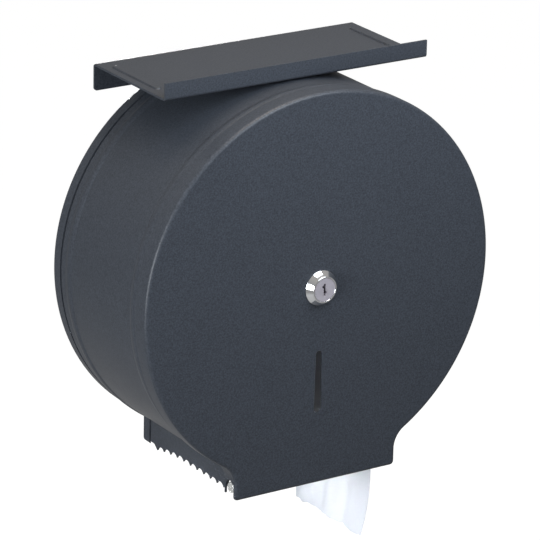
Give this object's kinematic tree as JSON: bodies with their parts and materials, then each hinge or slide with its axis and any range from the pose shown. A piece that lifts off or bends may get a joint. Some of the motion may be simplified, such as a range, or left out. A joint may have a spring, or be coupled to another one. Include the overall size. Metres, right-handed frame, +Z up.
{
  "type": "jumbo toilet roll dispenser",
  "caption": "Round wall-mounted dispenser for a jumbo toilet roll, with a lockable hinged cover, a viewing slot, serrated tear edges and a shelf on top.",
  "frame": {"origin": "centre of the four wall-screw holes, in the plane of the wall, on the drum's axis", "axes": "+Z up, +X to the right as seen from the front, +Y into the wall, front towards -Y"},
  "size_m": [0.266, 0.127, 0.3439],
  "materials": {
    "powder_coat": "fine matte powder coat",
    "rivet_steel": "plain zinc plated",
    "bright_steel": "bright steel",
    "lock_chrome": "polished chrome plate",
    "plug_steel": "satin nickel plate",
    "grey_plastic": "moulded, matte",
    "cardboard": "grey-brown board",
    "paper": "soft tissue"
  },
  "bodies": {
    "wall_unit": {"back_plate": "powder_coat", "shelf": "powder_coat", "shelf_rivets": "rivet_steel", "spindle_foot": "powder_coat", "spindle_tube": "powder_coat", "spindle_rivets": "rivet_steel", "strike_plate": "powder_coat", "hinge_rod": "bright_steel", "paper_tail": "paper"},
    "cover": {"front_panel": "powder_coat", "drum_wall": "powder_coat", "guide_rod": "bright_steel", "hinge_bracket_right": "powder_coat", "hinge_bracket_left": "powder_coat", "lock_housing": "lock_chrome", "lock_washer": "bright_steel", "lock_nut": "bright_steel"},
    "lock": {"lock_plug": "plug_steel", "lock_cam": "bright_steel", "cam_washer": "bright_steel", "cam_screw": "bright_steel"},
    "roll": {"core_sleeve": "grey_plastic", "roll_core": "cardboard", "paper_roll": "paper"}
  },
  "joints": [
    {"name": "cover_hinge", "type": "hinge", "parent": "wall_unit", "child": "cover", "pos_m": [0, -0.0135, -0.1343], "axis": [1, 0, 0], "range_deg": [0, 90], "deforming": ["paper_tail"]},
    {"name": "lock_turn", "type": "hinge", "parent": "cover", "child": "lock", "pos_m": [0, -0.11, 0], "axis": [0, 1, 0], "range_deg": [0, 90]},
    {"name": "roll_spin", "type": "hinge", "parent": "wall_unit", "child": "roll", "pos_m": [0, -0.06, 0], "axis": [0, 1, 0], "continuous": true}
  ]
}
